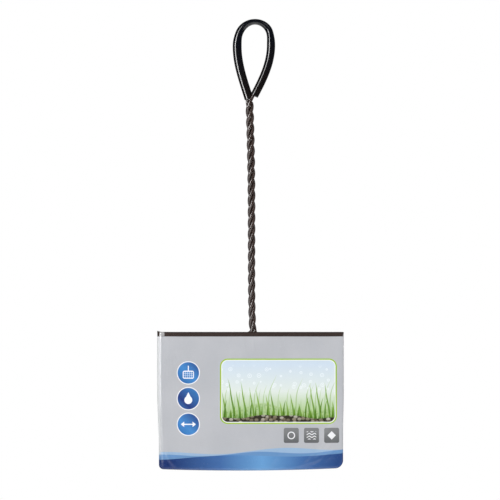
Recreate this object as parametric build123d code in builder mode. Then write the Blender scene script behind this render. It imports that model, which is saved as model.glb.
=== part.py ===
from build123d import *

import os
from math import ceil, cos, pi, radians, sin, sqrt

import numpy as np

# Hand net for an aquarium, as it hangs in a shop with its net folded in a sleeve.
# Millimetres, +Z up, the net seen from the front along +Y.
# The origin is the hang point: the underside of the loop's crown, where a peg carries it.

# Coated wire and the twist of the stem
wire_diameter = 3.35
strand_gap = 0.47  # air between two strands of the twist
lay_allowance = 1.02  # leaning strands sit closer than their cross-section shows
twist_pitch = 36.5  # nominal length of one full turn
hang_to_crotch = 87.0  # hang point down to where the strands part for the loop
hang_to_bar = 337.5  # hang point down to the middle of the hoop's top bar
stem_offset = 5.0  # the stem stands this far left of the hang point
bend_drop = 6.5  # height of the bends from the stem into the top bar
bend_reach = 7.5  # how far the bends reach to each side of the stem
upper_tail = 2.8  # free end above the crotch
lower_tail = 5.0  # free end below the twist
wire_sides = 8  # few sides to the wire's section, for so long a twist
sections_per_turn = 8
sections_per_bend = 3  # on each arc of a bend
straight_steps = (0.0, 3.0, 8.0, 20.0, 45.0)  # sections from each end of a straight run

# Hoop, outside sizes
hoop_width = 200.0
hoop_height = 144.8
hoop_corner_radius = 10.0  # on the wire's middle line

# Loop, on the wire's middle line, measured from the hang point
loop_right = 17.0
loop_right_drop = 24.0
loop_shoulder_inset = 1.6
loop_shoulder_drop = 8.2
loop_left = 19.9
loop_left_drop = 27.5
right_leg_lean = 25.0  # degrees from upright at the tube's end
left_leg_lean = 16.0
right_end_x = -0.1
right_end_drop = 76.4
left_end_x = -8.3
left_end_drop = 80.6
right_leg_forward = 1.8  # the right leg crosses in front of the left one
left_leg_back = 1.5

# Vinyl grip tube, flattened where it bends over the crown of the loop
tube_diameter = 8.5
tube_wall = 1.05
tube_crown_thickness = 6.2
tube_shoulder_thickness = 7.6
tube_flank_thickness = 9.2
tube_sides = 10
tube_sections_per_arc = 3

# Binding tape round the hoop, with a sewn flange that grips the edge of the net
tape_thickness = 0.6
tape_clearance = 0.15
flange_length = 4.5
flange_slot = 0.7
binding_stand_off = 1.0  # from the bends to the ends of the tape

# Net bag, folded in three
net_thickness = 0.5
fold_radius = 0.75  # on the middle of the cloth
net_tuck = 3.2  # how deep the net's edge goes into the flange
fold_margin = 1.0  # folds stay this far from where the outer layers slant to the flanges
net_side_clearance = 0.4
net_front_y = 0.35  # middle of the front layer

# Printed sleeve
sleeve_wall = 0.35
sleeve_clearance = 0.42
sleeve_crown = 2.6  # how far the front panel bulges at its middle
mouth_rise = 2.5  # the mouth stands this far above the top bar's middle
bottom_slack = 1.2  # spare film under the net
bottom_sag = 2.0  # how far the middle of the bottom edge hangs below its corners
bottom_corner_radius = 6.0

os.makedirs("parts", exist_ok=True)

# Derived places
stem_x = -stem_offset
bar_z = -hang_to_bar
bottom_bar_z = bar_z - (hoop_height - wire_diameter)
half_hoop = (hoop_width - wire_diameter) / 2
twist_top_z = -hang_to_crotch
twist_bottom_z = bar_z + bend_drop
twist_radius = (wire_diameter + strand_gap) / sqrt(3) * lay_allowance
crown_z = tube_crown_thickness / 2

# Strand angles at the bottom of the twist, counted from +X towards +Y (the back).
# The last part of a turn brings each strand to the leg of the loop that it belongs to.
loop_left_strand = 300.0
right_bar_strand = 60.0
left_bar_strand = 180.0
last_part_turn = 0.55
full_turns = max(1, round((twist_top_z - twist_bottom_z) / twist_pitch - last_part_turn))
twist_rate = 360 * (full_turns + last_part_turn) / (twist_top_z - twist_bottom_z)


def strand_station(bottom_angle, z, way):
    """Point on a strand at height z, and its direction: way is 1 going up, -1 going down."""
    angle = radians(bottom_angle + twist_rate * (z - twist_bottom_z))
    lean = radians(twist_rate) * twist_radius
    point = Vector(stem_x + twist_radius * cos(angle), twist_radius * sin(angle), z)
    direction = Vector(-lean * sin(angle), lean * cos(angle), 1).normalized()
    return point, direction * way


def strand(bottom_angle, z_from, z_to, fineness):
    """Stations at even steps along one strand."""
    way = 1 if z_to > z_from else -1
    spans = ceil(abs(z_to - z_from) * twist_rate / 360 * sections_per_turn * fineness)
    heights = [z_from + (z_to - z_from) * i / spans for i in range(spans + 1)]
    return [strand_station(bottom_angle, z, way) for z in heights]


def join(start, end):
    """Line or biarc that leaves one station along its direction and arrives along the next one's."""
    p0, t0 = start
    p1, t1 = end
    chord = p1 - p0
    if (chord.normalized() - t0).length < 1e-6:
        Line(p0, p1)
        return
    both = chord.dot(t0 + t1)
    turn = 2 * (1 - t0.dot(t1))
    reach = (sqrt(both**2 + turn * chord.dot(chord)) - both) / turn
    middle = (p0 + t0 * reach + p1 - t1 * reach) / 2
    middle_direction = (p1 - t1 * reach - p0 - t0 * reach).normalized()
    TangentArc(p0, middle, tangent=t0)
    TangentArc(middle, p1, tangent=middle_direction)


def hoop_stations(left_x, right_x):
    """Round the hoop from the left half of the top bar to the right half, between two places on it."""
    left, right = stem_x - half_hoop, stem_x + half_hoop
    top, bottom, corner = bar_z, bottom_bar_z, hoop_corner_radius
    return [
        (Vector(left_x, 0, top), Vector(-1, 0, 0)),
        (Vector(left + corner, 0, top), Vector(-1, 0, 0)),
        (Vector(left, 0, top - corner), Vector(0, 0, -1)),
        (Vector(left, 0, bottom + corner), Vector(0, 0, -1)),
        (Vector(left + corner, 0, bottom), Vector(1, 0, 0)),
        (Vector(right - corner, 0, bottom), Vector(1, 0, 0)),
        (Vector(right, 0, bottom + corner), Vector(0, 0, 1)),
        (Vector(right, 0, top - corner), Vector(0, 0, 1)),
        (Vector(right - corner, 0, top), Vector(-1, 0, 0)),
        (Vector(right_x, 0, top), Vector(-1, 0, 0)),
    ]


def lean_direction(degrees, way):
    """Upward direction leaning to the right by some degrees, or the same line downwards."""
    return Vector(sin(radians(degrees)), 0, cos(radians(degrees))) * way


loop_stations = [
    (Vector(right_end_x, -right_leg_forward, -right_end_drop), lean_direction(right_leg_lean, 1)),
    (Vector(loop_right, 0, -loop_right_drop), Vector(0, 0, 1)),
    (
        Vector(loop_right - loop_shoulder_inset, 0, -loop_shoulder_drop),
        Vector(-loop_shoulder_inset * 2, 0, loop_right_drop - loop_shoulder_drop).normalized(),
    ),
    (Vector(0, 0, crown_z), Vector(-1, 0, 0)),
    (Vector(-loop_left, 0, -loop_left_drop), Vector(0, 0, -1)),
    (Vector(left_end_x, left_leg_back, -left_end_drop), lean_direction(-left_leg_lean, -1)),
]


def bent(stations, fineness):
    """Stations along the lines and arcs that join a few given ones."""
    with BuildLine() as route:
        for start, end in zip(stations, stations[1:]):
            join(start, end)
    dense = []
    for edge in route.edges():
        steps = sections_per_bend * fineness
        places = [i / steps for i in range(steps)]
        if edge.geom_type == GeomType.LINE:
            near = [step / edge.length for step in straight_steps if step < edge.length / 2]
            places = near + [1 - place for place in reversed(near[1:])]
        dense += [(edge @ place, edge % place) for place in places]
    return dense + [stations[-1]]


def wire_runs(fineness=1):
    """The wire from end to end: strand, hoop, strand, loop and strand."""
    left_foot = strand_station(left_bar_strand, twist_bottom_z, -1)
    right_foot = strand_station(right_bar_strand, twist_bottom_z, 1)
    right_head = strand_station(right_bar_strand, twist_top_z, 1)
    left_head = strand_station(loop_left_strand, twist_top_z, -1)
    hoop = hoop_stations(stem_x - bend_reach, stem_x + bend_reach)
    return [
        strand(left_bar_strand, twist_top_z + upper_tail, twist_bottom_z, fineness),
        bent([left_foot] + hoop + [right_foot], fineness),
        strand(right_bar_strand, twist_bottom_z, twist_top_z, fineness),
        bent([right_head] + loop_stations + [left_head], fineness),
        strand(loop_left_strand, twist_top_z, twist_bottom_z - lower_tail, fineness),
    ]


with BuildPart() as frame_wire:
    across = Vector(0, 1, 0)
    for run in wire_runs():
        for point, direction in run:
            across = (across - direction * across.dot(direction)).normalized()
            with BuildSketch(Plane(origin=point, x_dir=across, z_dir=direction)):
                RegularPolygon(wire_diameter / 2, wire_sides)
        loft()
frame_wire.part.label = "frame_wire"

# The least air between two passes of the wire, measured on close points along it
samples = np.array([tuple(point) for run in wire_runs(6) for point, direction in run])
travelled = np.cumsum(np.linalg.norm(np.diff(samples, axis=0, prepend=samples[:1]), axis=1))
apart = np.linalg.norm(samples[:, None] - samples[None, :], axis=2)
apart[np.abs(travelled[:, None] - travelled[None, :]) < 4 * wire_diameter] = np.inf
print(f"least air between two passes of the wire: {apart.min() - wire_diameter:.2f} mm")


def oval(point, direction, thickness, wall):
    """Tube section. The tube keeps its girth: what it loses in thickness it gains across."""
    half_across = tube_diameter - thickness / 2 - wall
    half_thick = thickness / 2 - wall
    turns = [2 * pi * i / tube_sides for i in range(tube_sides)]
    with BuildSketch(Plane(origin=point, x_dir=(0, 1, 0), z_dir=direction)) as section:
        Polygon(*[(half_across * cos(turn), half_thick * sin(turn)) for turn in turns], align=None)
    return section.sketch


with BuildLine() as tube_route:
    for start, end in zip(loop_stations, loop_stations[1:]):
        join(start, end)
tube_thicknesses = [
    tube_diameter,
    tube_flank_thickness,
    tube_shoulder_thickness,
    tube_crown_thickness,
    tube_flank_thickness,
    tube_diameter,
]
# Two arcs lead from each station of the loop to the next, and each arc gets its sections at even steps
tube_places = []
for i, edge in enumerate(tube_route.edges()):
    before, after = tube_thicknesses[i // 2 : i // 2 + 2]
    for step in range(tube_sections_per_arc):
        place = step / tube_sections_per_arc
        along = (i % 2 + place) / 2
        thickness = before + (after - before) * (1 - cos(pi * along)) / 2
        tube_places.append((edge @ place, edge % place, thickness))
tube_places.append((*loop_stations[-1], tube_diameter))

with BuildPart() as grip_tube:
    loft([oval(*place, 0) for place in tube_places], ruled=True)
    loft([oval(*place, tube_wall) for place in tube_places], ruled=True, mode=Mode.SUBTRACT)
grip_tube.part.label = "grip_tube"

# Binding: a ring round the wire with a slotted flange that points into the hoop
ring_inside = wire_diameter / 2 + tape_clearance
ring_outside = ring_inside + tape_thickness
flange_tip = ring_outside + flange_length
flange_width = flange_slot + 2 * tape_thickness
binding_stations = hoop_stations(
    stem_x - bend_reach - binding_stand_off, stem_x + bend_reach + binding_stand_off
)

with BuildPart() as rim_binding:
    with BuildLine() as rim_route:
        for start, end in zip(binding_stations, binding_stations[1:]):
            join(start, end)
    with BuildSketch(Plane(origin=binding_stations[0][0], x_dir=(0, 1, 0), z_dir=(-1, 0, 0))):
        RegularPolygon(ring_outside, wire_sides, major_radius=False)
        with Locations((0, flange_tip / 2)):
            Rectangle(flange_width, flange_tip)
            Rectangle(flange_slot, flange_tip, mode=Mode.SUBTRACT)
        RegularPolygon(ring_inside, wire_sides, major_radius=False, mode=Mode.SUBTRACT)
    sweep()
rim_binding.part.label = "rim_binding"

# Net: from the top flange to the back, down, up in the middle, down in front, into the bottom flange
layer_pitch = 2 * fold_radius
net_middle_y = net_front_y + layer_pitch
net_back_y = net_middle_y + layer_pitch
slant_drop = 2 * net_back_y
upper_lip_z = bar_z - flange_tip
lower_lip_z = bottom_bar_z + flange_tip
upper_slant_z = upper_lip_z - net_thickness - slant_drop
lower_slant_z = lower_lip_z + net_thickness + slant_drop
half_net = half_hoop - max(hoop_corner_radius, flange_tip) - net_side_clearance

with BuildPart() as net_bag:
    with BuildSketch(Plane.YZ.offset(stem_x - half_net)):
        with BuildLine():
            top = Line((0, upper_lip_z + net_tuck), (0, upper_lip_z - net_thickness))
            back_slant = Line(top @ 1, (net_back_y, upper_slant_z))
            back = Line(back_slant @ 1, (net_back_y, lower_slant_z + fold_margin))
            lower_fold = JernArc(back @ 1, (0, -1), fold_radius, -180)
            middle = Line(lower_fold @ 1, (net_middle_y, upper_slant_z - fold_margin))
            upper_fold = JernArc(middle @ 1, (0, 1), fold_radius, 180)
            front = Line(upper_fold @ 1, (net_front_y, lower_slant_z))
            front_slant = Line(front @ 1, (0, lower_lip_z + net_thickness))
            Line(front_slant @ 1, (0, lower_lip_z - net_tuck))
        trace(line_width=net_thickness)
    extrude(amount=2 * half_net)
net_bag.part.label = "net_bag"

# Sleeve: the crowned prism of its section, cut to its outline and rounded along the bottom
net_rear = net_back_y + net_thickness / 2
cavity_radius = ring_outside + sleeve_clearance
mouth_z = bar_z + mouth_rise
cavity_bottom_z = bottom_bar_z - cavity_radius - bottom_slack


def sleeve_block(wall, top_z):
    """The cavity, or the outside of the sleeve where wall is its thickness."""
    half_width = half_hoop + cavity_radius + wall
    front_y = -cavity_radius - wall
    back_y = net_rear + sleeve_clearance + wall
    bottom_z = cavity_bottom_z - wall
    edge = cavity_radius + wall
    with BuildPart() as block:
        with BuildSketch(Plane.XY.offset(bottom_z - bottom_sag)):
            with BuildLine(Location((stem_x, 0))):
                Line((-half_width, front_y), (-half_width, back_y))
                Line((-half_width, back_y), (half_width, back_y))
                Line((half_width, back_y), (half_width, front_y))
                ThreePointArc((half_width, front_y), (0, front_y - sleeve_crown), (-half_width, front_y))
            section = make_face()
            fillet(section.vertices(), edge)
        extrude(amount=top_z - bottom_z + bottom_sag)
        with BuildSketch(Plane.XZ.offset(-back_y)):
            with BuildLine(Location((stem_x, 0))):
                Line((-half_width, bottom_z), (-half_width, top_z))
                Line((-half_width, top_z), (half_width, top_z))
                Line((half_width, top_z), (half_width, bottom_z))
                ThreePointArc((half_width, bottom_z), (0, bottom_z - bottom_sag), (-half_width, bottom_z))
            outline = make_face()
            low_corners = outline.vertices().group_by(Axis.Y)[0]
            fillet(low_corners, bottom_corner_radius + wall)
        extrude(amount=back_y - front_y + sleeve_crown, mode=Mode.INTERSECT)
    return block.part


with BuildPart() as sleeve:
    add(sleeve_block(sleeve_wall, mouth_z))
    add(sleeve_block(0, mouth_z + sleeve_wall), mode=Mode.SUBTRACT)
sleeve.part.label = "sleeve"

for node in (frame_wire, grip_tube, rim_binding, net_bag, sleeve):
    export_step(node.part, f"parts/{node.part.label}.step")
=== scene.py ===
import bpy
import numpy as np
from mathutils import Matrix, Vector


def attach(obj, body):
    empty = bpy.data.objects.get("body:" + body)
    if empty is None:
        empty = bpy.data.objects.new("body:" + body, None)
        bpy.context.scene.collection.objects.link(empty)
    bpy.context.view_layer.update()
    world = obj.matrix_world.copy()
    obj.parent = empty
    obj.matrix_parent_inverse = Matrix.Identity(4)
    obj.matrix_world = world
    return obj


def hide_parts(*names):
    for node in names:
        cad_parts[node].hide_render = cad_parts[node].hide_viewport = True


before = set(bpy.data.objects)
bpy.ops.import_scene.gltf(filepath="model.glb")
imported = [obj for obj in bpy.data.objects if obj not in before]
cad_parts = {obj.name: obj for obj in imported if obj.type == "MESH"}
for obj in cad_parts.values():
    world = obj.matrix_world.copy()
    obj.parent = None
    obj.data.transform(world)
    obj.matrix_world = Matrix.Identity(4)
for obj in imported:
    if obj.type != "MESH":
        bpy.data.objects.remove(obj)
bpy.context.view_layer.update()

# Frame wire: one length of steel wire in a smooth dark brown plastic coat.
# It is bent cold into the hoop and the hanging loop, and its three passes along the stem
# are twisted round each other, which is all that holds the stem together.
MM = 0.001
depth_way = np.array([0.0, 1.0, 0.0])
wire_radius = 1.82
wire_sides = 24
wire_step = 0.6
wire_end_round = 1.1
wire_end_flat = 0.12
stem_x = -5.0
stem_set = 0.8
stem_bow_top = 2.2
stem_bow_foot = 1.25
twist_radius_top = 2.66
twist_radius_bottom = 2.22
twist_turns = 6.69
twist_top_z = -87.0
twist_bottom_z = -331.0
strand_points_per_mm = 8
upper_tail = 2.8
lower_tail = 5.0
lower_tail_lean = -0.4
left_bar_strand = 130.0
right_bar_strand = 10.0
loop_left_strand = 250.0
bar_z = -337.5
bottom_bar_z = -478.95
half_hoop = 98.325
hoop_corner = 10.0
hoop_taper_left = 1.3
hoop_taper_right = 0.9
bend_reach = 7.5
bend_points = 600


def eased(share):
    """A share of 0 to 1 with a soft start and end: three squares less two cubes."""
    return share**2 * (3 - 2 * share)


def strand(bottom_angle, z_from, z_to):
    """Helix about the stem: the angle grows evenly with height, right-handed. The stem bows by a
    millimetre or two towards each end, as hand-twisted wire does, and is looser in its upper half."""
    z = np.linspace(z_from, z_to, int(abs(z_to - z_from) * strand_points_per_mm) + 2)
    rise = (z - twist_bottom_z) / (twist_top_z - twist_bottom_z)
    angle = np.radians(bottom_angle) + 2 * np.pi * twist_turns * rise
    radius = twist_radius_bottom + (twist_radius_top - twist_radius_bottom) * eased(rise)
    toward_top = np.clip(2 * rise - 1, 0, None)
    toward_foot = np.clip(1 - 2 * rise, 0, None)
    lean = stem_set - stem_bow_top * toward_top**2 + stem_bow_foot * toward_foot**6
    return np.stack([stem_x + lean + radius * np.cos(angle), radius * np.sin(angle), z], axis=1)


def unit(vectors):
    """Vectors of length one along the last axis."""
    return vectors / np.linalg.norm(vectors, axis=-1, keepdims=True)


def bend(start, start_way, end, end_way):
    """Cubic curve from one point and direction to another, with the pull that comes nearest to an arc."""
    start, end = np.array(start, float), np.array(end, float)
    start_way, end_way = unit(np.array(start_way, float)), unit(np.array(end_way, float))
    chord = np.linalg.norm(end - start)
    turn = np.arccos(np.clip(start_way @ end_way, -1, 1))
    pull = chord / np.cos(turn / 4) ** 2
    t = np.linspace(0, 1, bend_points)[:, None]
    return (
        (2 * t**3 - 3 * t**2 + 1) * start
        + (t**3 - 2 * t**2 + t) * pull * start_way
        + (3 * t**2 - 2 * t**3) * end
        + (t**3 - t**2) * pull * end_way
    )


def through(stations):
    """One path through stations of a point and a direction, with a bend from each to the next."""
    return np.concatenate([bend(*a, *b) for a, b in zip(stations, stations[1:])])


def head(path):
    """A path's first point and its direction there, as a station."""
    return path[0], path[1] - path[0]


def tail(path):
    """A path's last point and its direction there, as a station."""
    return path[-1], path[-1] - path[-2]


def even(path, step):
    """The same path with points at even steps along it."""
    lengths = np.linalg.norm(np.diff(path, axis=0), axis=1)
    path = path[np.concatenate([[True], lengths > 1e-6])]
    along = np.concatenate([[0], np.cumsum(np.linalg.norm(np.diff(path, axis=0), axis=1))])
    places = np.linspace(0, along[-1], int(along[-1] / step) + 1)
    return np.stack([np.interp(places, along, path[:, i]) for i in range(3)], axis=1)


def directions(path):
    """Three directions at each point of a path: along it, through the net's depth, and square to both."""
    way = unit(np.gradient(path, axis=0))
    side = unit(depth_way - way * (way @ depth_way)[:, None])
    return way, side, np.cross(way, side)


def carried(path, across, upward, ways=None):
    """Profile carried along a path. across is measured through the net's depth, upward square to it and to
    the path; both are arrays of one row a path point and one column a profile point. ways are the
    directions at the path's points, where they are known already."""
    _, side, up = ways or directions(path)
    return path[:, None] + across[..., None] * side[:, None] + upward[..., None] * up[:, None]


def grid_object(name, points, wrap_rows=False, wrap_columns=False, uv=None, caps=()):
    """Mesh of four-sided faces on a grid of points in millimetres, or on many like grids in one array,
    closed along rows or columns where asked. caps are rows that one flat face closes, True where it looks
    back against the order of the rows."""
    rows, columns = points.shape[-3:-1]
    i = np.arange(rows if wrap_rows else rows - 1)[:, None]
    j = np.arange(columns if wrap_columns else columns - 1)[None, :]
    next_i, next_j = (i + 1) % rows, (j + 1) % columns
    corners = [i * columns + j, i * columns + next_j, next_i * columns + next_j, next_i * columns + j]
    starts = np.arange(0, points.size // 3, rows * columns)[:, None]
    faces = (starts[..., None] + np.stack(corners, axis=-1).reshape(-1, 4)).reshape(-1, 4).tolist()
    for row, backward in caps:
        ring = np.arange(columns) + (row % rows) * columns
        faces += (starts + (ring[::-1] if backward else ring)).tolist()
    mesh = bpy.data.meshes.new(name)
    mesh.from_pydata((points.reshape(-1, 3) * MM).tolist(), [], faces)
    if uv is not None:
        layer = mesh.uv_layers.new(name="weave")
        index = np.zeros(len(mesh.loops), dtype=np.int32)
        mesh.loops.foreach_get("vertex_index", index)
        layer.data.foreach_set("uv", uv.reshape(-1, 2)[index].ravel())
    mesh.polygons.foreach_set("use_smooth", np.ones(len(mesh.polygons), dtype=bool))
    mesh.update()
    piece = bpy.data.objects.new(name, mesh)
    bpy.context.collection.objects.link(piece)
    return piece


class Value:
    """A number that varies over a surface. Arithmetic on it adds Math nodes to its finish."""

    def __init__(self, finish, socket):
        self.finish = finish
        self.socket = socket

    def math(self, operation, *others):
        return self.finish.node("ShaderNodeMath", {"operation": operation}, [self, *others])

    def __add__(self, other):
        return self.math("ADD", other)

    __radd__ = __add__

    def __sub__(self, other):
        return self.math("SUBTRACT", other)

    def __rsub__(self, other):
        return self.finish.node("ShaderNodeMath", {"operation": "SUBTRACT"}, [other, self])

    def __mul__(self, other):
        return self.math("MULTIPLY", other)

    __rmul__ = __mul__

    def __truediv__(self, other):
        return self.math("DIVIDE", other)

    def __abs__(self):
        return self.math("ABSOLUTE")

    def below(self, other):
        """The smaller of the two."""
        return self.math("MINIMUM", other)

    def above(self, other):
        """The larger of the two."""
        return self.math("MAXIMUM", other)

    def fraction(self):
        return self.math("FRACT")

    def floor(self):
        return self.math("FLOOR")

    def sine(self):
        return self.math("SINE")

    def root(self):
        return self.math("SQRT")

    def between(self, low, high):
        """0 at low, 1 at high, eased and held outside."""
        sockets = {"Value": self, "From Min": low, "From Max": high}
        return self.finish.node("ShaderNodeMapRange", {"interpolation_type": "SMOOTHSTEP"}, sockets)

    def colours(self, *stops):
        """Colour ramp through (place, colour) stops."""
        return self.finish.node("ShaderNodeValToRGB", {"stops": stops}, [self])


class Finish:
    """A material, or the world, made of shader nodes."""

    def __init__(self, name, world=None):
        self.material = world or bpy.data.materials.new(name)
        self.material.use_nodes = True
        self.tree = self.material.node_tree
        self.tree.nodes.clear()
        self.output = self.tree.nodes.new("ShaderNodeOutputWorld" if world else "ShaderNodeOutputMaterial")

    def node(self, kind, settings=None, sockets=(), output=0):
        """Adds one node: its settings first, then its sockets by name or in order. Gives one output."""
        added = self.tree.nodes.new(kind)
        for key, value in (settings or {}).items():
            if key == "stops":
                ramp = added.color_ramp.elements
                while len(ramp) < len(value):
                    ramp.new(1.0)
                for element, (place, colour) in zip(ramp, value):
                    element.position = place
                    element.color = (*colour, 1.0)
            else:
                setattr(added, key, value)
        named = sockets.items() if isinstance(sockets, dict) else enumerate(sockets)
        for key, value in named:
            socket = added.inputs[key]
            if isinstance(value, Value):
                self.tree.links.new(value.socket, socket)
            else:
                colour = socket.type == "RGBA" and len(value) == 3
                socket.default_value = (*value, 1.0) if colour else value
        return Value(self, added.outputs[output])

    def outputs(self, value):
        """All outputs, by name, of the node that a value comes from."""
        return {port.name: Value(self, port) for port in value.socket.node.outputs}

    def split(self, vector):
        """The three parts of a vector."""
        return self.outputs(self.node("ShaderNodeSeparateXYZ", None, [vector])).values()

    def channels(self, colour):
        """The three channels of a colour."""
        return self.outputs(self.node("ShaderNodeSeparateColor", None, [colour])).values()

    def place(self):
        """Object coordinates in millimetres: x, y and z."""
        return [part / MM for part in self.split(self.node("ShaderNodeTexCoord", output=3))]

    def own_place(self, size):
        """The piece's own map in millimetres, where the map's whole width stands for size."""
        run, over, _ = self.split(self.node("ShaderNodeUVMap", {"uv_map": "weave"}))
        return run * size, over * size

    def point(self, x, y=0.0, z=0.0):
        """Vector of three numbers."""
        return self.node("ShaderNodeCombineXYZ", None, [x, y, z])

    def noise(self, vector, scale, detail=2.0, roughness=0.5):
        """Cloudy noise of about 0 to 1. A larger scale makes smaller clouds."""
        sockets = {"Vector": vector, "Scale": scale, "Detail": detail, "Roughness": roughness}
        return self.node("ShaderNodeTexNoise", {"noise_dimensions": "3D"}, sockets)

    def mix(self, first, second, factor):
        """Colour that is first where factor is 0 and second where it is 1."""
        sockets = {0: factor, 6: first, 7: second}
        return self.node("ShaderNodeMix", {"data_type": "RGBA"}, sockets, output=2)

    def bump(self, height, distance):
        """Bump from a height of 0 to 1, where 1 stands for a distance in millimetres."""
        sockets = {"Height": height, "Distance": distance * MM, "Strength": 1.0}
        return self.node("ShaderNodeBump", None, sockets)

    def show(self, shader):
        """Joins a shader to the output."""
        self.tree.links.new(shader.socket, self.output.inputs["Surface"])

    def surface(self, **sockets):
        """Principled surface to the output. Words in a name are joined by an underscore."""
        named = {key.replace("_", " "): value for key, value in sockets.items()}
        self.show(self.node("ShaderNodeBsdfPrincipled", None, named))

    def on(self, piece):
        """Puts the finish on a piece."""
        piece.data.materials.append(self.material)


def leaning(degrees, upwards):
    """Direction in the net's plane, some degrees to the right of straight up, or its reverse."""
    lean = np.radians(degrees)
    return np.array([np.sin(lean), 0, np.cos(lean)]) * (1 if upwards else -1)


down_left = strand(left_bar_strand, twist_top_z + upper_tail, twist_bottom_z)
up_right = strand(right_bar_strand, twist_bottom_z, twist_top_z)
down_last = strand(loop_left_strand, twist_top_z, twist_bottom_z)
lower_end = (down_last[-1] + [lower_tail_lean, 0, -lower_tail], (0, 0, -1))
# The hand-bent hoop is a little narrower at its foot
hoop_left, hoop_right = stem_x - half_hoop, stem_x + half_hoop
foot_left, foot_right = hoop_left + hoop_taper_left, hoop_right - hoop_taper_right
side_drop = bar_z - bottom_bar_z - 2 * hoop_corner
left_way, right_way = (hoop_taper_left, 0, -side_drop), (hoop_taper_right, 0, side_drop)
hoop_stations = [
    ((stem_x - bend_reach, 0, bar_z), (-1, 0, 0)),
    ((hoop_left + hoop_corner, 0, bar_z), (-1, 0, 0)),
    ((hoop_left, 0, bar_z - hoop_corner), left_way),
    ((foot_left, 0, bottom_bar_z + hoop_corner), left_way),
    ((foot_left + hoop_corner, 0, bottom_bar_z), (1, 0, 0)),
    ((foot_right - hoop_corner, 0, bottom_bar_z), (1, 0, 0)),
    ((foot_right, 0, bottom_bar_z + hoop_corner), right_way),
    ((hoop_right, 0, bar_z - hoop_corner), right_way),
    ((hoop_right - hoop_corner, 0, bar_z), (-1, 0, 0)),
    ((stem_x + bend_reach, 0, bar_z), (-1, 0, 0)),
]
# The loop's legs are uneven, as bent by hand: up the right one, over the crown and down the left one
loop_stations = [
    ((-2.4, -1.8, -77.3), leaning(28, True)),
    ((16.7, 0, -22.5), (0, 0, 1)),
    ((15.4, 0, -8.2), (-4.5, 0, 15)),
    ((-0.4, 0, 3.1), (-1, 0, 0)),
    ((-17.5, 0, -9.0), (-2.6, 0, -6.5)),
    ((-19.9, 0, -23.5), (0, 0, -1)),
    ((-8.9, 1.5, -81.6), leaning(-17, False)),
]
wire_path = np.concatenate(
    [
        down_left,
        through([tail(down_left), *hoop_stations, head(up_right)]),
        up_right,
        through([tail(up_right), *loop_stations, head(down_last)]),
        down_last,
        through([tail(down_last), lower_end]),
    ]
)
wire_path = even(wire_path, wire_step)
wire_around = np.linspace(0, 2 * np.pi, wire_sides, endpoint=False)
# The cut ends are rounded over by their last millimetre
wire_rows = np.arange(len(wire_path))
from_end = np.minimum(wire_rows, wire_rows[::-1]) * wire_step
to_round = 1 - np.clip(from_end + wire_end_flat, 0, wire_end_round) / wire_end_round
wire_spread = wire_radius * np.sqrt(1 - to_round**2)[:, None]
wire = grid_object(
    "frame_wire_coat",
    carried(wire_path, wire_spread * np.cos(wire_around), wire_spread * np.sin(wire_around)),
    wrap_columns=True,
    caps=[(0, True), (-1, False)],
)

coat = Finish("dark_brown_coat")
spot = coat.point(*coat.place())
mottle = coat.noise(spot, 0.08, 3.0)
orange_peel = coat.noise(spot, 0.9, 2.0)
coat.surface(
    Base_Color=mottle.colours((0.3, (0.027, 0.0150, 0.0115)), (0.7, (0.048, 0.0290, 0.0235))),
    Roughness=0.19 + mottle * 0.05 + orange_peel * 0.02,
    Specular_IOR_Level=0.95,
    IOR=1.6,
    Normal=coat.bump(orange_peel, 0.002),
)
coat.on(wire)
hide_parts("frame_wire")
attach(wire, "net")

# Grip tube: a length of soft black vinyl tube, pushed over the loop before the stem is twisted.
# It goes flat where it bends over the crown, and its square-cut ends hang loose on the wire.
tube_diameter = 8.6
tube_wall = 1.05
tube_sides = 56
tube_step = 0.7
tube_edge_round = 0.3
# One value for each of the loop's stations: the tube's thickness, and its shift outwards from the wire
tube_thicknesses = [8.9, 9.1, 7.8, 6.3, 8.4, 9.8, 9.6]
tube_slack = [1.1, 0.3, 0.1, 0.0, 0.0, 0.0, -2.0]

tube_path = even(through(loop_stations), tube_step)
tube_rows = np.arange(len(tube_path))
# How far each point has come from one station to the next, as 0 to 6
station_numbers = np.arange(len(loop_stations))
station_points = np.array([np.array(place, float) for place, _ in loop_stations])
nearest = np.linalg.norm(tube_path[:, None] - station_points[None], axis=2).argmin(axis=0)
nearest[0], nearest[-1] = tube_rows[0], tube_rows[-1]
progress = np.interp(tube_rows, nearest, station_numbers)
stage = np.floor(progress) + (1 - np.cos(np.pi * (progress % 1))) / 2
thickness = np.interp(stage, station_numbers, tube_thicknesses)
outward = np.cross(depth_way, unit(np.gradient(tube_path, axis=0)))
tube_path = tube_path + outward * np.interp(stage, station_numbers, tube_slack)[:, None]
tube_around = np.linspace(0, 2 * np.pi, tube_sides, endpoint=False)
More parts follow.
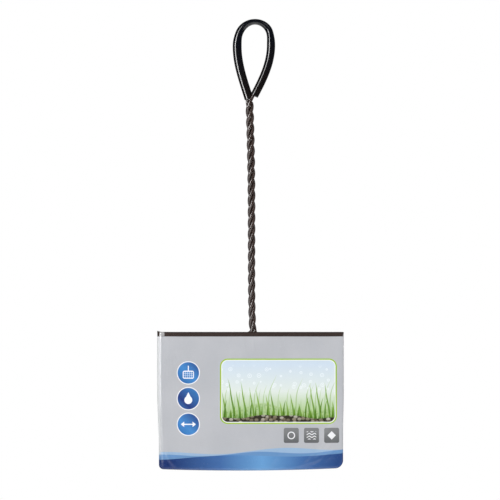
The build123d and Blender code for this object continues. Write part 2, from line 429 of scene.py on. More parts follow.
# Out along the outside, in along the bore, with one small step at each end for the rounded cut edge
row_order = np.concatenate(
    [tube_rows[:1], tube_rows, tube_rows[-1:], tube_rows[-1:], tube_rows[::-1], tube_rows[:1]]
)
outer_edge, bore_edge = [tube_edge_round], [tube_wall - tube_edge_round]
outside, bore = np.zeros(len(tube_rows)), np.full(len(tube_rows), tube_wall)
inset = np.concatenate([outer_edge, outside, outer_edge, bore_edge, bore, bore_edge])[:, None]
end_shift = np.zeros((len(row_order), 1))
end_shift[1], end_shift[len(tube_rows)] = tube_edge_round, -tube_edge_round
half_thick = (thickness / 2)[row_order][:, None] - inset
half_across = (tube_diameter - thickness / 2)[row_order][:, None] - inset
tube_ways = [way[row_order] for way in directions(tube_path)]
tube_uv = np.broadcast_arrays((row_order / len(tube_rows))[:, None], (tube_around / (2 * np.pi))[None])
tube = grid_object(
    "grip_tube_vinyl",
    carried(
        tube_path[row_order] + tube_ways[0] * end_shift,
        half_across * np.cos(tube_around),
        half_thick * np.sin(tube_around),
        tube_ways,
    ),
    wrap_rows=True,
    wrap_columns=True,
    uv=np.stack(tube_uv, axis=-1),
)

vinyl = Finish("black_vinyl")
x, y, z = vinyl.place()
smear = vinyl.noise(vinyl.point(x, y, z), 0.12, 3.0)
run, turn = vinyl.own_place(1.0)
draw_lines = vinyl.noise(vinyl.point(run * 6.0, turn * 60.0), 1.0, 2.0)
# Navy black at the crown, going over to brown black towards the ends
crown_to_end = z / -85.0 + (smear - 0.5) * 0.5
vinyl.surface(
    Base_Color=crown_to_end.colours((0.2, (0.0010, 0.0016, 0.0045)), (0.9, (0.0050, 0.0034, 0.0028))),
    Roughness=0.12 + smear * 0.06 + draw_lines * 0.04,
    Specular_IOR_Level=0.8,
    Normal=vinyl.bump(smear, 0.06),
)
vinyl.on(tube)
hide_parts("grip_tube")
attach(tube, "net")

# Rim binding: a woven tape folded over the hoop's wire and sewn through both of its layers.
# The flange inside the hoop grips the edge of the mesh, and the tape's ends stop short of the stem.
ring_radius = 2.5
ring_open = 148
ring_points = 25
flange_root = 3.1
flange_tip = 6.9
flange_half = 0.95
flange_bevel = 0.5
binding_stand_off = 1.0
rim_step = 1.2
tape_map = 800
weft_pitch = 0.9
warp_pitch = 0.7
stitch_pitch = 3.6
binding_stations = list(hoop_stations)
binding_stations[0] = ((stem_x - bend_reach - binding_stand_off, 0, bar_z), (-1, 0, 0))
binding_stations[-1] = ((stem_x + bend_reach + binding_stand_off, 0, bar_z), (-1, 0, 0))
rim_path = even(through(binding_stations), rim_step)
rim_along = np.arange(len(rim_path)) * rim_step
# Profile: round the wire, then along both sides of the flange to its tip, with inwards as positive
round_angles = np.radians(np.linspace(-ring_open, ring_open, ring_points))
flange_across = flange_half * np.array([1, 1, 0.6, -0.6, -1, -1])
bevel_up = flange_tip - flange_bevel
flange_up = [flange_root, bevel_up, flange_tip, flange_tip, bevel_up, flange_root]
rim_across = np.concatenate([ring_radius * np.sin(round_angles), flange_across])
rim_up = np.concatenate([-ring_radius * np.cos(round_angles), flange_up])
# The tape puckers a little between stitches
pucker = 1 + 0.02 * np.sin(rim_along / stitch_pitch * 2 * np.pi) + 0.03 * np.sin(rim_along / 41 + 1)
pucker = pucker[:, None]
rim_round = np.concatenate([[0], np.cumsum(np.hypot(np.diff(rim_across), np.diff(rim_up)))])
binding = grid_object(
    "rim_binding_tape",
    carried(rim_path, pucker * rim_across, pucker * rim_up),
    wrap_columns=True,
    uv=np.stack(np.broadcast_arrays(rim_along[:, None], rim_round[None]), axis=-1) / tape_map,
    caps=[(0, True), (-1, False)],
)

tape = Finish("woven_tape")
run, over = tape.own_place(tape_map)
weave = abs((run * (np.pi / weft_pitch)).sine() * (over * (np.pi / warp_pitch)).sine())
fade = tape.noise(tape.point(*tape.place()), 0.06, 3.0)
tape.surface(
    Base_Color=tape.mix(
        fade.colours((0.3, (0.010, 0.022, 0.020)), (0.75, (0.020, 0.040, 0.036))),
        (0.050, 0.075, 0.068),
        weave * 0.35,
    ),
    Roughness=0.78,
    Sheen_Weight=0.25,
    Normal=tape.bump(weave, 0.12),
)
tape.on(binding)
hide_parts("rim_binding")
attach(binding, "net")

# Rim stitches: polyester thread sewn through the flange in a running stitch, front and back.
# Each stitch is a short sunk bead of thread on the tape.
stitch_length = 2.5
stitch_radius = 0.24
stitch_depth = 5.0
stitch_proud = 0.02
stitch_ends = np.array([-1, -0.8, -0.35, 0.35, 0.8, 1]) * stitch_length / 2
stitch_swell = np.array([0.25, 0.75, 1.0, 1.0, 0.75, 0.25]) * stitch_radius
stitch_angles = np.linspace(0, 2 * np.pi, 6, endpoint=False)
stitch_path = even(through(binding_stations), stitch_pitch)
stitch_way, _, stitch_in = directions(stitch_path)
bead_in = np.outer(stitch_swell, np.cos(stitch_angles))[..., None]
bead_out = np.outer(stitch_swell, np.sin(stitch_angles))[..., None]
beads = []
for face in (-1, 1):
    middle = stitch_path + stitch_in * stitch_depth + face * (flange_half + stitch_proud) * depth_way
    along = middle[:, None] + stitch_way[:, None] * stitch_ends[:, None]
    beads.append(along[:, :, None] + bead_in * stitch_in[:, None, None] + bead_out * depth_way)
stitches = grid_object(
    "rim_stitches",
    np.concatenate(beads),
    wrap_columns=True,
    caps=[(0, True), (-1, False)],
)

thread = Finish("sewing_thread")
x, _, z = thread.place()
ply = ((x + z) * 9.0).sine()
thread.surface(
    Base_Color=ply.colours((0.0, (0.16, 0.24, 0.22)), (1.0, (0.24, 0.34, 0.31))),
    Roughness=0.6,
    Normal=thread.bump(ply, 0.04),
)
thread.on(stitches)
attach(stitches, "net")

# Net bag: a soft knitted mesh bag, its edge sewn into the rim's flange.
# For sale it is folded flat in three inside the hoop, and its side seams are overlocked.
half_net = 87.9
upper_lip_z = bar_z - flange_tip
lower_lip_z = bottom_bar_z + flange_tip
net_tuck = 3.0
layers_y = (3.35, 1.85, 0.35)
slant = 7.2
fold_radius = 0.75
fold_gap = 1.0
fold_points = 9
lip_straight = 0.5
net_step = 1.6
net_width_points = 220
net_map = 400
held_margin = 18
tape_gap_half = 5.2
tape_gap_height = 3.4
mesh_pitch = 1.5
mesh_hole = 0.27
mesh_hole_soft = 0.06
seam_width = 4.2
seam_soft = 0.6
overlock_inset = 3.4
overlock_width = 3.2
overlock_pitch = 2.4
hem_width = 5.0


def half_turn(centre_y, centre_z, radius, downwards):
    """Half circle of a fold, from the layer behind to the one in front."""
    t = np.linspace(0, np.pi, fold_points)
    flip = -1 if downwards else 1
    return np.stack([centre_y + radius * np.cos(t), centre_z + flip * radius * np.sin(t)], axis=1)


def creased(u, v, lines):
    """Straight creases, each from one place to another with a width and a height: highest along its line,
    fading to both ends and sideways."""
    total = 0
    for at_u, at_v, toward_u, toward_v, width, height in lines:
        du, dv = toward_u - at_u, toward_v - at_v
        length = np.hypot(du, dv)
        along = ((u - at_u) * du + (v - at_v) * dv) / length**2
        aside = ((u - at_u) * dv - (v - at_v) * du) / length
        fade = np.clip(1 - np.abs(2 * along - 1), 0, 1) ** 0.7
        total = total + height * fade * np.exp(-((aside / width) ** 2))
    return total


low_fold = half_turn((layers_y[0] + layers_y[1]) / 2, lower_lip_z + slant + fold_gap, fold_radius, True)
high_fold = half_turn((layers_y[1] + layers_y[2]) / 2, upper_lip_z - slant - fold_gap, fold_radius, False)
# Down behind from the upper lip, up again, and down in front to the lower lip, as depth and height
net_line = np.concatenate(
    [
        [(0, upper_lip_z + net_tuck), (0, upper_lip_z - lip_straight), (layers_y[0], upper_lip_z - slant)],
        low_fold,
        high_fold,
        [(layers_y[2], lower_lip_z + slant), (0, lower_lip_z + lip_straight), (0, lower_lip_z - net_tuck)],
    ]
)
net_line = even(np.column_stack([np.zeros(len(net_line)), net_line]), net_step)
net_along = np.arange(len(net_line)) * net_step
net_length = net_step * (len(net_line) - 1)
net_across = np.linspace(-half_net, half_net, net_width_points)
net_u, net_v = net_across[None], (net_line[:, 2] - lower_lip_z)[:, None]
# Held edges lie flat. Between them the soft layers ripple and crease together, towards the front.
from_rim = np.minimum(net_along, net_along[::-1])[:, None]
free = np.clip(from_rim / held_margin, 0, 1)
net_creases = [
    (-74, 14, -22, 116, 2.6, 1.10),
    (-52, 4, 8, 66, 2.2, -0.80),
    (-84, 72, -34, 96, 2.4, 0.90),
    (-16, 124, 26, 62, 3.0, 1.00),
    (2, 26, 58, 112, 2.6, 1.10),
    (26, 4, 80, 50, 2.4, 1.00),
    (44, 120, 84, 66, 2.2, -0.80),
]
ripple = (
    0.95
    + 0.50 * np.sin(net_u / 6.7 + 0.9 * np.sin(net_v / 21) + 0.4)
    + 0.30 * np.sin(net_u / 4.3 - net_v / 11 + 1.1)
    + creased(net_u, net_v, net_creases)
)
# The mesh is gathered where it is sewn in, in small pleats that die out away from the rim
pleats = 0.4 * np.sin(net_u / 2.6 + 0.8 * np.sin(net_u / 11))
pleats = pleats * np.clip((from_rim - 3) / 6, 0, 1) * np.exp(-from_rim / 24)
forward = free * np.clip(ripple, 0, None) + pleats
waved = free * 0.9 * np.sin(net_u / 23 + 0.6)
# In the gap between the tape's ends the edge of the mesh reaches up between the wires
at_lip = np.clip(1 - net_along / tape_gap_height, 0, 1)[:, None]
gap_lift = tape_gap_height * np.exp(-((net_u / tape_gap_half) ** 4)) * at_lip
net_points = np.broadcast_arrays(
    stem_x + net_u,
    net_line[:, 1][:, None] - forward,
    net_line[:, 2][:, None] + waved + gap_lift,
)
net_uv = np.stack(np.broadcast_arrays(net_u + half_net, net_along[:, None]), axis=-1) / net_map
net = grid_object("net_bag_mesh", np.stack(net_points, axis=-1), uv=net_uv)

knit = Finish("soft_mesh")
run, over = knit.own_place(net_map)
# Hexagon-like holes: every other row is shifted by half a hole
row_number = (over / mesh_pitch).floor()
hole_run = abs((run / mesh_pitch + row_number * 0.5).fraction() - 0.5)
hole_over = abs((over / mesh_pitch).fraction() - 0.5)
hole_edge = (hole_run * hole_run + hole_over * hole_over).root() - mesh_hole
hole = hole_edge.between(mesh_hole_soft, -mesh_hole_soft)
# The mesh has no open holes where its edges are overlocked, in a zigzag along the two seams
from_middle = abs(run - half_net)
seam = from_middle.between(half_net - seam_width, half_net - seam_width + seam_soft)
zigzag = abs(((over / overlock_pitch).fraction() - 0.5) * 2.0)
seam_run = (from_middle - (half_net - overlock_inset)) / overlock_width
stitched = seam * abs(seam_run - zigzag).between(0.22, 0.12)
hem = over.below(net_length - over).between(hem_width, hem_width - seam_soft)
spot = knit.point(*knit.place())
wash = knit.noise(spot, 0.03, 3.0)
crumple = knit.noise(spot, 0.11, 3.0, 0.55)
knit.surface(
    Base_Color=knit.mix(
        wash.colours((0.3, (0.38, 0.57, 0.49)), (0.75, (0.46, 0.64, 0.56))),
        (0.10, 0.22, 0.19),
        stitched,
    ),
    Roughness=0.72,
    Sheen_Weight=0.2,
    Alpha=1.0 - hole * (1.0 - seam.above(hem)),
    Normal=knit.bump((hole_run + hole_over) * 0.12 + crumple * 1.6, 1.0),
)
knit.on(net)

# Side gussets: the bag's edges along the two sides of the rim, of the same mesh.
# Each is sewn into the flange and tucked in between the folded layers of the bag.
gusset_outer = half_hoop - flange_tip + net_tuck
gusset_inner = half_net - 6.0
gusset_depth = 2.6
gusset_points = 12
gusset_margin = 1.0
gusset_z = np.arange(lower_lip_z + gusset_margin, upper_lip_z - gusset_margin, net_step)[:, None]
gusset_in = np.linspace(0, 1, gusset_points)[None]
gusset_x = gusset_outer + (gusset_inner - gusset_outer) * gusset_in
slack = 0.15 * np.sin(np.pi * gusset_in) * np.sin(gusset_z / 9.0)
gusset_y = gusset_depth * eased(np.clip(2 * gusset_in - 0.5, 0, 1)) + slack
gusset_uv = np.broadcast_arrays(half_net + gusset_x - half_hoop, gusset_z - lower_lip_z)
gusset_uv = np.stack(gusset_uv, axis=-1) / net_map
for name, side in (("net_gusset_left", -1), ("net_gusset_right", 1)):
    sheet = np.stack(np.broadcast_arrays(stem_x + side * gusset_x, gusset_y, gusset_z), axis=-1)
    gusset = grid_object(name, sheet[:, ::side], uv=gusset_uv[:, ::side])
    knit.on(gusset)
    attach(gusset, "net")
# The bag is one sheet with its gussets
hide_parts("net_bag")
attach(net, "net")

# Sleeve: a flat bag of thin printed film, open along the top and folded along the bottom.
# It is pushed up over the folded net and held there by its own tightness.
sleeve_half = 101.5
sleeve_front_y = -3.9
sleeve_back_y = 4.36
sleeve_crown = 1.9
sleeve_edge = 3.2
sleeve_shoulder = 6.5
mouth_z = -335.0
mouth_tip = 1.1
mouth_tip_width = 2.5
mouth_flare_left = 0.6
mouth_draw_right = 0.2
sleeve_foot_z = -483.3
sleeve_sag = 2.0
sleeve_tilt = 0.6
sleeve_corner = 6.4
sleeve_corner_left = 2.6
bottom_round = 2.5
film_thickness = 0.2
front_points = 191
back_points = 81
edge_points = 12
height_points = 130
lip_points = 7
crease_gain = 2.4
settle_width = 6.0

# Section round the sleeve: the front from left to right, the right edge, the back and the left edge
flat_half = sleeve_half - sleeve_shoulder
back_half = sleeve_half - sleeve_edge
back_centre_y = sleeve_back_y - sleeve_edge
front_x = np.linspace(-flat_half, flat_half, front_points)
back_x = np.linspace(back_half, -back_half, back_points)
quarter = np.linspace(0, np.pi / 2, edge_points)[1:-1]
section_x = np.concatenate(
    [
        front_x,
        flat_half + sleeve_shoulder * np.sin(quarter),
        [sleeve_half, sleeve_half],
        back_half + sleeve_edge * np.cos(quarter),
        back_x,
        -back_half - sleeve_edge * np.sin(quarter),
        [-sleeve_half, -sleeve_half],
        -flat_half - sleeve_shoulder * np.cos(quarter),
    ]
)
section_y = np.concatenate(
    [
        np.full(len(front_x), sleeve_front_y),
        sleeve_front_y * np.cos(quarter),
        [0, back_centre_y],
        back_centre_y + sleeve_edge * np.sin(quarter),
        np.full(len(back_x), sleeve_back_y),
        back_centre_y + sleeve_edge * np.cos(quarter),
        [back_centre_y, 0],
        sleeve_front_y * np.sin(quarter),
    ]
)
is_front = np.zeros(len(section_x))
is_front[: len(front_x)] = 1
is_back = np.zeros(len(section_x))
back_start = len(front_x) + 2 * len(quarter) + 2
is_back[back_start : back_start + len(back_x)] = 1

# Rows run down from the mouth and round the fold at the foot, and the last row closes the fold
down = np.linspace(0, 1, height_points)
lip = np.linspace(0, np.pi / 2, lip_points)[1:]
row_down = np.concatenate([down, np.ones(len(lip) + 1)])[:, None]
lip_lift, lip_inset = bottom_round * (1 - np.sin(lip)), bottom_round * (1 - np.cos(lip))
row_lift = np.concatenate([np.full(len(down), bottom_round), lip_lift, [0]])[:, None]
row_inset = np.concatenate([np.zeros(len(down)), lip_inset, [bottom_round]])[:, None]
row_open = np.concatenate([np.ones(len(down) + len(lip)), [0]])[:, None]

corner_radius = np.where(section_x < 0, sleeve_corner_left, sleeve_corner)
over_corner = np.clip(np.abs(section_x) - (sleeve_half - corner_radius), 0, corner_radius - 0.05)
foot_z = (
    sleeve_foot_z
    - sleeve_sag * (1 - (section_x / sleeve_half) ** 2)
    - sleeve_tilt * (1 - section_x / sleeve_half)
    + corner_radius
    - np.sqrt(corner_radius**2 - over_corner**2)
)
# The mouth's left corner sticks up to a small tip
mouth_line = mouth_z + mouth_tip * np.exp(-(((section_x + sleeve_half) / mouth_tip_width) ** 2))
sleeve_z = mouth_line + (foot_z - mouth_line) * row_down + row_lift * row_down
middle_y = (sleeve_front_y + sleeve_back_y) / 2
off_middle = section_y - middle_y
sleeve_y = middle_y + np.clip(np.abs(off_middle) - row_inset, 0, None) * np.sign(off_middle) * row_open
v = sleeve_z - sleeve_foot_z


def risen(low, high):
    """0 below one share of the sleeve's height, 1 above another, eased between them."""
    return eased(np.clip((v / (mouth_z - sleeve_foot_z) - low) / (high - low), 0, 1))


# The sides draw in towards the foot with the hoop, the left one more, and the left one flares at the mouth
left_in = hoop_taper_left - (hoop_taper_left + mouth_flare_left) * risen(0.15, 0.60)
right_in = hoop_taper_right - (hoop_taper_right - mouth_draw_right) * risen(0.25, 0.55)
drawn_in = np.where(section_x < 0, left_in, right_in)
sleeve_x = section_x * (1 - row_inset / sleeve_half) * (1 - drawn_in / sleeve_half)
u = sleeve_x

# Crown of the front panel, then the film's own dents and creases, in millimetres towards the front
crown = sleeve_crown * (1 - np.clip(section_x / flat_half, -1, 1) ** 2)
billow = (
    0.28 * np.sin(u / 31 + 0.5) * np.sin(v / 37 + 0.9)
    + 0.16 * np.sin(u / 14.3 + v / 23 + 2.1)
    + 0.10 * np.sin(u / 9.1 - v / 17.7)
)
front_creases = [
    (-2, 148, -2, 122, 3.4, -0.40),
    (3, 150, 5, 128, 2.6, 0.24),
    (58, 3, 99, 42, 2.4, 0.70),
    (66, 2, 100, 26, 1.9, -0.65),
    (48, 2, 90, 14, 2.0, 0.60),
    (70, 30, 100, 66, 2.6, 0.55),
    (56, 62, 101, 80, 2.2, 0.35),
    (62, 74, 101, 98, 2.6, -0.30),
    (20, 1, 34, 22, 3.0, 0.30),
    (-100, 24, -82, 2, 2.6, 0.40),
    (-98, 120, -60, 138, 4.0, 0.30),
    (-99, 96, -88, 60, 3.0, -0.25),
    (62, 146, 98, 120, 3.6, 0.28),
]
settled = np.clip((flat_half - np.abs(section_x)) / settle_width, 0, 1)
film_rise = crown + settled * (billow + crease_gain * creased(u, v, front_creases))
film_rise = film_rise * (1 - 0.6 * row_inset / bottom_round)
# Dents of the back panel, towards the back, with the step of its lapped seam
back_creases = [
    (-80, 140, -40, 96, 3.4, -0.50),
    (-96, 70, -60, 20, 2.8, 0.45),
    (30, 6, 88, 40, 3.0, -0.45),
    (60, 138, 92, 100, 2.8, 0.40),
    (7.2, 2, 7.2, 143, 1.2, 0.30),
]
back_dents = settled * (0.25 * np.sin(u / 26 + 0.4) * np.sin(v / 33) + creased(u, v, back_creases))
sleeve_y = sleeve_y + (is_back * back_dents - is_front * film_rise) * row_open
sleeve = grid_object(
    "sleeve_film",
    np.stack([stem_x + sleeve_x, sleeve_y, sleeve_z], axis=-1)[::-1],
    wrap_columns=True,
)
walls = sleeve.modifiers.new("film", "SOLIDIFY")
walls.thickness = film_thickness * MM
walls.offset = -1.0

film = Finish("printed_film")
x, y, z = film.place()
across = x - stem_x
height = z - sleeve_foot_z
# The front print ends where the film turns over to the back
front = y.between(1.2, 0.9)
crisp = 0.15


def inside(distance, soft=0.25):
    """1 where a distance to an outline, in millimetres, is negative, with a soft edge."""
    return distance.between(soft, -soft)


def round_box(centre_x, centre_z, half_width, half_height, radius):
    """Distance to the outline of a rectangle with rounded corners."""
    off_x = abs(across - centre_x) - (half_width - radius)
    off_z = abs(height - centre_z) - (half_height - radius)
    out_x, out_z = off_x.above(0.0), off_z.above(0.0)
    return (out_x * out_x + out_z * out_z).root() + off_x.above(off_z).below(0.0) - radius


def disc(centre_x, centre_z, radius):
    """Distance to a circle."""
    off_x, off_z = across - centre_x, height - centre_z
    return (off_x * off_x + off_z * off_z).root() - radius


# Silver field
grain = film.noise(film.point(x, y, z), 0.9, 2.0)
field = film.noise(film.point(x * 0.02, z * 0.02), 1.0, 2.0).colours(
    (0.25, (0.428, 0.440, 0.470)), (0.8, (0.490, 0.498, 0.525))
)

# Picture window: misty water, far mounds, four rows of ribbon plants, a bank of pebbles, and bubbles
picture_x, picture_z = 30.0, 84.0
picture_half_width, picture_half_height = 62.0, 34.0
picture_corner = 7.0
picture_foot = picture_z - picture_half_height
mound_top = 66.0
bank_top = 56.5
plant_foot = 54.0
pebble_flat = 1.35
window = round_box(picture_x, picture_z, picture_half_width, picture_half_height, picture_corner)
water = ((height - picture_foot) / (2 * picture_half_height)).colours(
    (0.0, (0.26, 0.42, 0.10)),
    (0.25, (0.46, 0.60, 0.34)),
    (0.50, (0.70, 0.76, 0.72)),
    (1.0, (0.56, 0.66, 0.78)),
)
far_mound = height - mound_top - (across / 15.0 + 0.6).sine() * 4.0 - (across / 7.0).sine() * 1.1
leafy = film.noise(film.point(across, height), 0.5, 4.0, 0.65)
picture = film.mix(
    water,
    leafy.colours((0.35, (0.20, 0.34, 0.10)), (0.65, (0.46, 0.60, 0.30))),
    inside(far_mound - (leafy - 0.5) * 5.0, 0.9) * 0.75,
)


def ribbons(spacing, tallest, width, drift, seed, deep, bright):
    """A row of ribbon plants that bow with the current: one blade in each step of spacing, of its own
    height and place, narrowing to its tip. Gives where it is, and its colour from foot to tip."""
    climb = (height - plant_foot).above(0.0)
    current = climb * climb * drift * 0.01 + (climb / 7.0 + seed).sine() * climb * 0.035
    place = across + 200.0 + seed * 3.7 - current
    step = (place / spacing).floor()
    sockets = {"Vector": film.point(step, seed)}
    lots = film.outputs(film.node("ShaderNodeTexWhiteNoise", {"noise_dimensions": "2D"}, sockets))
    tall, shade, push = film.channels(lots["Color"])
    rise = climb / (tallest * (0.35 + 0.65 * tall))
    aside = abs(place - (step + 0.5 + (push - 0.5) * 0.45) * spacing)
    shape = inside(aside - width * (1.04 - rise * rise), 0.16) * inside(rise - 1.0, 0.02)
    rib = inside(aside - 0.12, 0.1) * 0.35
    colour = rise.colours((0.0, deep), (1.0, bright))
    return shape, film.mix(colour, deep, rib.above(shade * 0.55))


def scattered(point, scale, randomness):
    """Cells scattered over the print, as outputs: the distance to a cell's middle, its colour by lot and
    its middle's place."""
    settings = {"voronoi_dimensions": "2D", "feature": "F1"}
    sockets = {"Vector": point, "Scale": scale, "Randomness": randomness}
    return film.outputs(film.node("ShaderNodeTexVoronoi", settings, sockets))


for ribbon_row in (
    (5.2, 52.0, 0.75, 0.35, 1.0, (0.30, 0.46, 0.20), (0.55, 0.68, 0.42)),
    (7.4, 44.0, 1.05, -0.45, 2.0, (0.09, 0.22, 0.03), (0.36, 0.56, 0.12)),
    (5.8, 24.0, 0.95, 0.60, 3.0, (0.03, 0.11, 0.012), (0.24, 0.46, 0.05)),
    (2.3, 9.0, 0.62, 0.30, 4.0, (0.05, 0.14, 0.015), (0.30, 0.50, 0.07)),
):
    shape, colour = ribbons(*ribbon_row)
    picture = film.mix(picture, colour, shape)
stones = scattered(film.point(across, height * pebble_flat), 0.2, 0.85)
stone_lot, _, _ = film.channels(stones["Color"])
_, stone_middle, _ = film.split(stones["Position"])
stone_top = (height * pebble_flat - stone_middle).between(-3.0, 3.0)
pebble = film.mix(
    stone_lot.colours((0.0, (0.13, 0.10, 0.06)), (0.5, (0.30, 0.26, 0.18)), (1.0, (0.56, 0.53, 0.46))),
    (0.035, 0.03, 0.02),
    (stones["Distance"].between(0.30, 0.62) + (1.0 - stone_top) * 0.55).below(1.0),
)
bank = height - bank_top - (across / 17.0).sine() * 1.8 - (across / 6.3).sine() * 0.7
picture = film.mix(picture, pebble, inside(bank, 0.3))
bubbles = scattered(film.point(across, height), 0.1, 0.9)
bubble_lot, _, _ = film.channels(bubbles["Color"])
bubble_size = 0.05 + bubble_lot * 0.16
bubble_ring = inside(abs(bubbles["Distance"] - bubble_size) - 0.02, 0.012)
bubble_glint = inside(bubbles["Distance"] - bubble_size * 0.35, 0.02) * 0.6
afloat = height.between(78.0, 88.0) * (1.0 - height.between(108.0, 114.0))
picture = film.mix(picture, (0.90, 0.94, 0.97), bubble_ring.above(bubble_glint) * afloat * 0.85)

# Green and white edge of the window
panel = film.mix(field, (0.32, 0.52, 0.04), inside(window - 1.6, crisp))
panel = film.mix(panel, (0.82, 0.84, 0.84), inside(window - 0.2, crisp))
panel = film.mix(panel, picture, inside(window + 0.7, crisp))

# Three blue discs at the side, each with a white rim and a plain sign
disc_radius = 11.7
disc_rim = 0.9
disc_places = ((-68.0, 104.0), (-68.0, 76.0), (-68.0, 48.0))
white_ink = (0.85, 0.88, 0.92)
sheen_blue = ((across + height) / 60.0).fraction().colours(
    (0.0, (0.022, 0.045, 0.20)),
    (0.45, (0.045, 0.190, 0.48)),
    (0.6, (0.060, 0.235, 0.56)),
    (1.0, (0.022, 0.045, 0.20)),
)
for disc_x, disc_z in disc_places:
    panel = film.mix(panel, (0.84, 0.86, 0.88), inside(disc(disc_x, disc_z, disc_radius + disc_rim)))
    panel = film.mix(panel, sheen_blue, inside(disc(disc_x, disc_z, disc_radius)))
# First sign: a net's hoop on its stem, with a lattice in it
lattice_pitch = 2.2
hoop_x, hoop_z = disc_places[0][0], disc_places[0][1] - 2.0
hoop_sign = abs(round_box(hoop_x, hoop_z, 5.6, 3.9, 1.4)) - 0.45
stem_sign = abs(across - hoop_x).above(abs(height - hoop_z - 6.8) - 2.4) - 0.5
bars_x = abs(((across - hoop_x) / lattice_pitch).fraction() - 0.5) * lattice_pitch
bars_z = abs(((height - hoop_z) / lattice_pitch).fraction() - 0.5) * lattice_pitch
lattice = (bars_x.below(bars_z) - 0.16).above(round_box(hoop_x, hoop_z, 5.4, 3.7, 1.2))
panel = film.mix(panel, white_ink, inside(hoop_sign.below(stem_sign).below(lattice), crisp))
# Second sign: a drop of water, round below and with straight sides up to its point
drop_radius = 4.3
drop_height = 8.6
drop_x, drop_z = disc_places[1][0], disc_places[1][1] - 1.6
drop_up = height - drop_z
drop_narrow = (1.0 - (drop_up / drop_height).above(0.0)).above(0.0)
drop_sides = abs(across - drop_x) - drop_radius * drop_narrow
drop_cone = drop_sides.above(0.0 - drop_up).above(drop_up - drop_height)
drop = disc(drop_x, drop_z, drop_radius).below(drop_cone)
panel = film.mix(panel, white_ink, inside(drop, crisp))
# Third sign: an arrow with two heads
arrow_x, arrow_z = disc_places[2]
arrow_out = abs(across - arrow_x)
arrow_up = abs(height - arrow_z)
arrow_shaft = (arrow_out - 5.0).above(arrow_up - 0.6)
arrow_head = (arrow_up - (8.2 - arrow_out) * 0.8).above(4.6 - arrow_out)
panel = film.mix(panel, white_ink, inside(arrow_shaft.below(arrow_head), crisp))

# Grey tabs below the window: a ring, waves and a lozenge
tab_places = (44.0, 66.0, 88.0)
tab_z = 36.0
tab_half = 8.2
tab_corner = 2.0
wave_pitch = 3.0
tab_grey = (height / 40.0).colours((0.55, (0.075, 0.08, 0.085)), (1.0, (0.20, 0.205, 0.21)))
ring_sign = abs(disc(tab_places[0], tab_z, 3.6)) - 0.55
wave_height = (height - tab_z - (across / 0.9).sine() * 0.7) / wave_pitch
waves = abs(wave_height.fraction() - 0.5) * wave_pitch - 0.5
wave_sign = waves.above(round_box(tab_places[1], tab_z, 5.2, 4.4, 0.5))
lozenge_sign = (abs(across - tab_places[2]) + abs(height - tab_z)) * 0.7 - 3.2
for tab_x, sign in zip(tab_places, (ring_sign, wave_sign, lozenge_sign)):
    tab = round_box(tab_x, tab_z, tab_half, tab_half, tab_corner)
    panel = film.mix(panel, tab_grey, inside(tab, crisp))
    panel = film.mix(panel, (0.80, 0.81, 0.83), inside(sign, crisp))

# Plain back: the field with a lapped seam up the middle
seam_half = 6.0
seam_line = abs(abs(across) - seam_half) - 0.25
back_art = film.mix(field, (0.36, 0.37, 0.40), inside(seam_line, 0.2) * 0.6)
art = film.mix(back_art, panel, front)

# Blue water along the foot, in three layers with a waved top, all round the sleeve
band_blue = (abs(across - 12.0) / 101.0).colours(
    (0.0, (0.130, 0.320, 0.60)), (0.45, (0.050, 0.135, 0.35)), (1.0, (0.008, 0.028, 0.14))
)
for layer_top, wave_width, wave_start, swell, slope, layer_blue in (
    (19.0, 21.0, 0.0, 2.2, 0.035, (0.30, 0.44, 0.62)),
    (16.4, 17.0, 1.2, 1.6, 0.030, (0.13, 0.27, 0.50)),
    (13.4, 25.0, 2.6, 1.6, 0.025, band_blue),
):
    wave_top = layer_top + (across / wave_width + wave_start).sine() * swell + across * slope
    art = film.mix(art, layer_blue, inside(height - wave_top))

# Dark edge round the mouth
mouth_edge = 143.6
art = film.mix(art, (0.040, 0.028, 0.024), inside(mouth_edge - height, 0.2))

# Painted highlight in near white along the side folds, most along the left one, and at the mouth's left
# corner, broken up in patches by noise
patchy = film.noise(film.point(x * 0.4, y * 0.4, z * 0.15), 1.3, 4.0).between(0.56, 0.70)
narrower = height.between(90.0, 20.0) * 1.2
fold_highlights = (abs(across) + narrower).between(99.4, 101.4) * patchy
left_span = height.between(143.4, 142.6) * height.between(12.0, 18.0)
left_fold_highlight = (across - narrower).between(-98.2, -100.4) * left_span
lip_highlight = abs(across + 96.8).between(3.4, 1.6) * height.between(143.2, 144.6) * front
painted_edge_highlight = (fold_highlights * 0.75).above(lip_highlight * (0.45 + patchy * 0.45)).above(left_fold_highlight * (0.70 + patchy * 0.25))
art = film.mix(art, (0.80, 0.81, 0.82), painted_edge_highlight)
crinkle = film.noise(film.point(x * 0.13, y * 0.13, z * 0.06), 1.0, 3.0, 0.55)
film.surface(
    Base_Color=art,
    Roughness=0.22 + grain * 0.08,
    Specular_IOR_Level=0.45,
    Coat_Weight=0.25 + crinkle * 0.25,
    Coat_Roughness=0.12,
    Normal=film.bump(crinkle, 0.7),
)
film.on(sleeve)
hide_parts("sleeve")
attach(sleeve, "sleeve")

# Studio: a pale floor well below the hanging net, which melts into a white surround.
# Two strip lights stand one above the other at the left, with a faint glow from the upper right
# and soft light from the right, the front and the back.
floor_z = -0.72
floor_radius = 1.15
floor_rings = 24
floor_sides = 64
ring = np.linspace(0.02, floor_radius / MM, floor_rings)[:, None]
bearing = np.linspace(0, 2 * np.pi, floor_sides, endpoint=False)[None]
floor_points = np.broadcast_arrays(ring * np.cos(bearing), ring * np.sin(bearing), floor_z / MM)
floor = grid_object("floor", np.stack(floor_points, axis=-1)[::-1], wrap_columns=True, caps=[(-1, False)])


def ray_kinds(finish):
    """1 on rays from the camera, and 1 on rays that come by gloss or through glass."""
    kinds = finish.outputs(finish.node("ShaderNodeLightPath"))
    return kinds["Is Camera Ray"], kinds["Is Glossy Ray"] + kinds["Is Transmission Ray"]


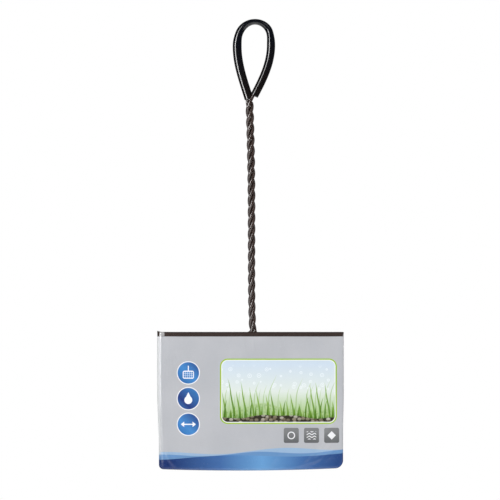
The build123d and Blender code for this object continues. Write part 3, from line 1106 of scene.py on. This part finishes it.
paper = Finish("pale_floor")
x, y, _ = paper.place()
seen, mirrored = ray_kinds(paper)
far = ((x * x + y * y).root() * MM).between(0.35, floor_radius - 0.05)
under = abs(x * MM).between(0.34, 0.12) * 0.9 + 0.1
matt = paper.node("ShaderNodeBsdfDiffuse", None, {"Color": (0.86, 0.86, 0.86)})
glow = paper.node("ShaderNodeEmission", None, {"Color": (1.0, 1.0, 1.0), "Strength": 1.0})
whiteness = (seen * far + mirrored * under).below(1.0)
paper.show(paper.node("ShaderNodeMixShader", None, [whiteness, matt, glow]))
paper.on(floor)

# The surround is white to the camera. Gloss sees it as a white backdrop behind the net in a dim room.
world = bpy.data.worlds.new("white_surround")
bpy.context.scene.world = world
surround = Finish("surround", world)
seen, mirrored = ray_kinds(surround)
_, backward, _ = surround.split(surround.node("ShaderNodeTexCoord"))
soft, faint, white = [
    surround.node("ShaderNodeBackground", None, {"Color": (1.0, 1.0, 1.0), "Strength": strength})
    for strength in (0.13, 0.05, 1.0)
]
whiteness = (seen + mirrored * backward.between(0.80, 0.97)).below(1.0)
room = surround.node("ShaderNodeMixShader", None, [mirrored.below(1.0), soft, faint])
surround.show(surround.node("ShaderNodeMixShader", None, [whiteness, room, white]))


def softbox(name, place, target, width, height, power, glossy=True):
    """Rectangular lamp at a place, facing a target, both in metres."""
    lamp = bpy.data.lights.new(name, "AREA")
    lamp.shape = "RECTANGLE"
    lamp.size, lamp.size_y = width, height
    lamp.energy = power
    holder = bpy.data.objects.new(name, lamp)
    holder.location = place
    holder.rotation_euler = (Vector(target) - Vector(place)).to_track_quat("-Z", "Y").to_euler()
    holder.visible_glossy = glossy
    bpy.context.collection.objects.link(holder)


softbox("strip_left", (-0.95, -1.13, -0.065), (0, 0, -0.065), 0.28, 0.93, 14.2)
softbox("strip_left_high", (-0.95, -1.13, 0.58), (0, 0, 0.58), 0.28, 0.36, 3.4)
softbox("glow_right_high", (0.75, -0.96, 0.83), (0, 0, -0.2), 0.5, 0.5, 0.9)
softbox("fill_right", (1.5, -0.9, -0.1), (0, 0, -0.3), 0.8, 1.0, 18.0, glossy=False)
softbox("fill_front", (0.7, -2.0, 0.5), (0, 0, -0.3), 1.4, 1.2, 4.6, glossy=False)
softbox("fill_back", (0.3, 1.7, 0.4), (0, 0, -0.25), 0.8, 1.2, 20.0, glossy=False)

# Camera: a long lens straight in front of the net, as the photograph was taken.
# Its view at the net is as wide as the photograph, whose pixels are 1.09 mm there.
photo_pixel = 1.09
photo_pixels = 500
camera_distance = 2.8
camera_sensor = 36.0
aim_x = -5.9
aim_z = -245.6
camera_data = bpy.data.cameras.new("camera")
camera_data.sensor_width = camera_sensor
camera_data.lens = camera_sensor * camera_distance / (photo_pixel * MM * photo_pixels)
camera = bpy.data.objects.new("camera", camera_data)
camera.location = (aim_x * MM, -camera_distance, aim_z * MM)
camera.rotation_euler = (np.pi / 2, 0, 0)
bpy.context.collection.objects.link(camera)
bpy.context.scene.camera = camera
bpy.context.scene.view_settings.view_transform = "Standard"
